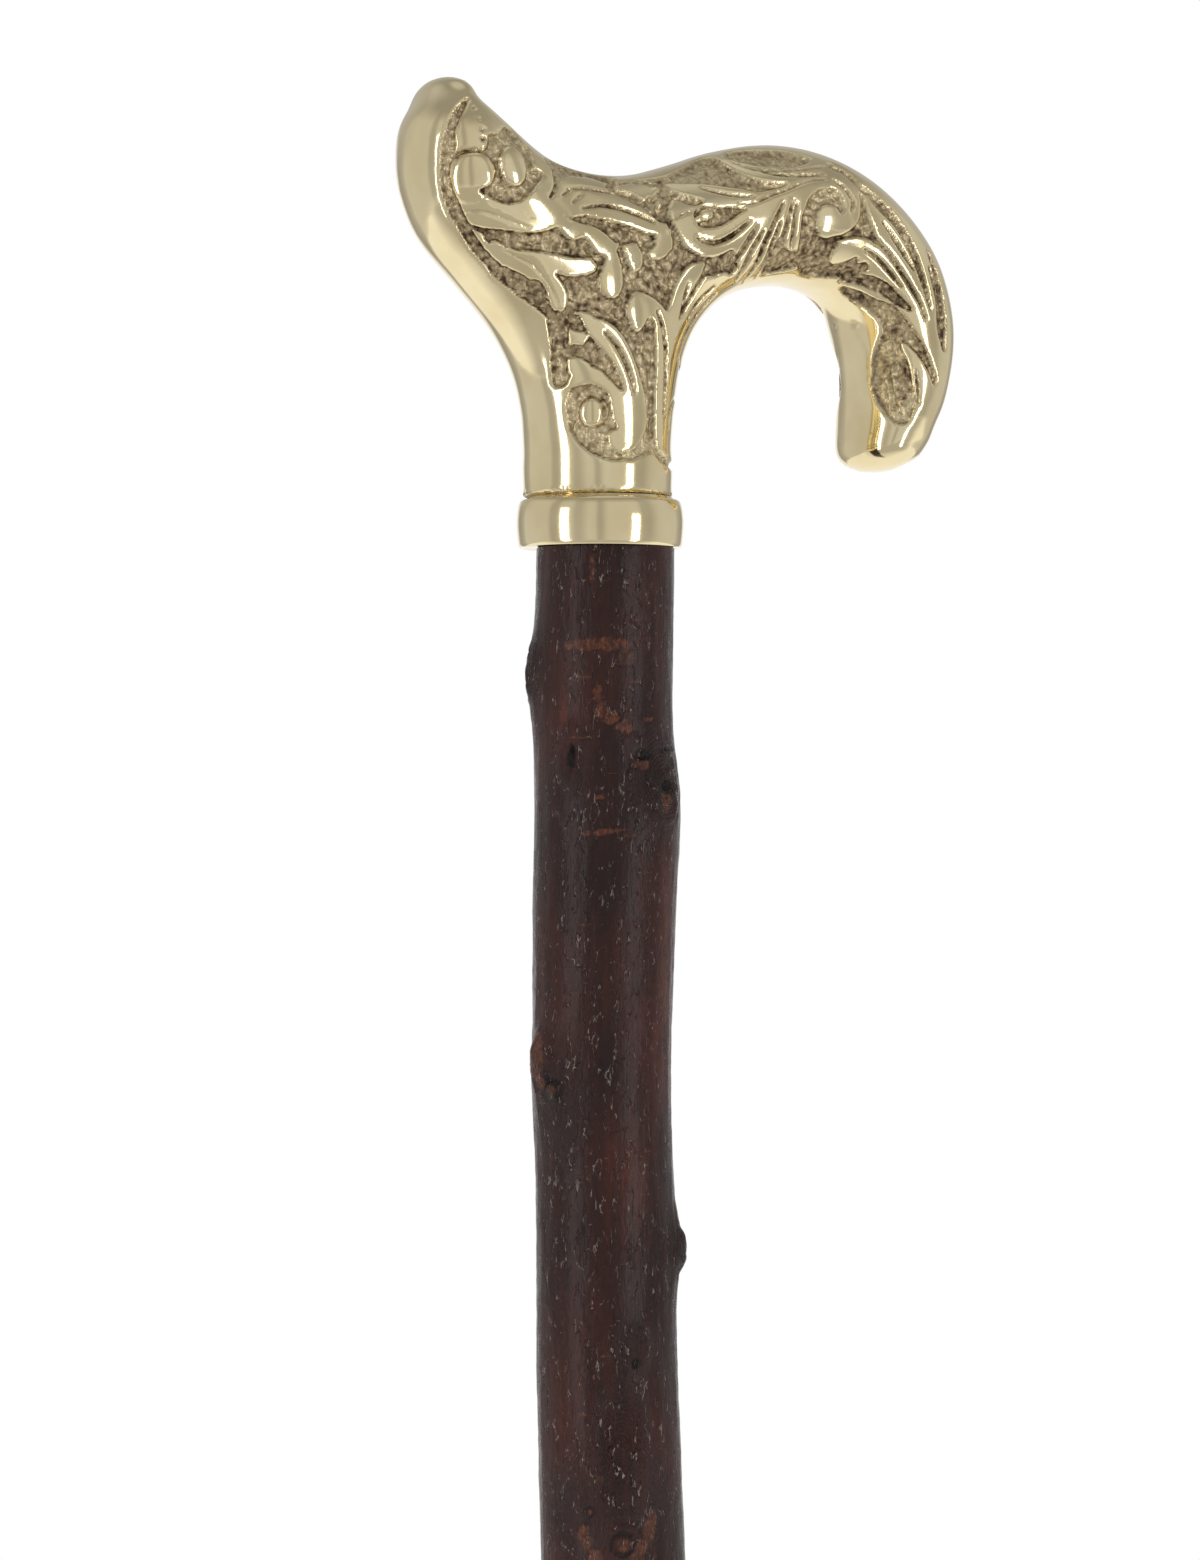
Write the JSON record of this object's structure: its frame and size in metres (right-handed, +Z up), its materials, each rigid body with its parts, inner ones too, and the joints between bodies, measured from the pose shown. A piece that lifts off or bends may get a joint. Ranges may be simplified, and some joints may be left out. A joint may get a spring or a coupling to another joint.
{
  "type": "shillelagh walking stick",
  "caption": "Shillelagh with a cast brass derby handle carved in acanthus scrolls, a plain brass collar, a knobbly bark-on shaft and a flared rubber ferrule.",
  "frame": {"origin": "centre of the ferrule's tread, on the floor, on the axis of the shaft's straight ends", "axes": "+Z runs up the shaft to the handle, +X points the way the hook of the handle reaches, and +Y is across the handle"},
  "size_m": [0.1078, 0.034, 0.9144],
  "materials": {
    "handle": "cast, polished on the raised work, with a dark patina in the stippled recesses",
    "collar": "turned and polished",
    "joining_stud": "plain rolled rod",
    "shaft": "natural dark red-brown bark under satin varnish",
    "rubber_ferrule": "moulded matte rubber",
    "ferrule_washer": "stamped and plated"
  },
  "bodies": {
    "root": {"handle": "handle", "collar": "collar", "joining_stud": "joining_stud", "shaft": "shaft", "rubber_ferrule": "rubber_ferrule", "ferrule_washer": "ferrule_washer"}
  },
  "joints": []
}
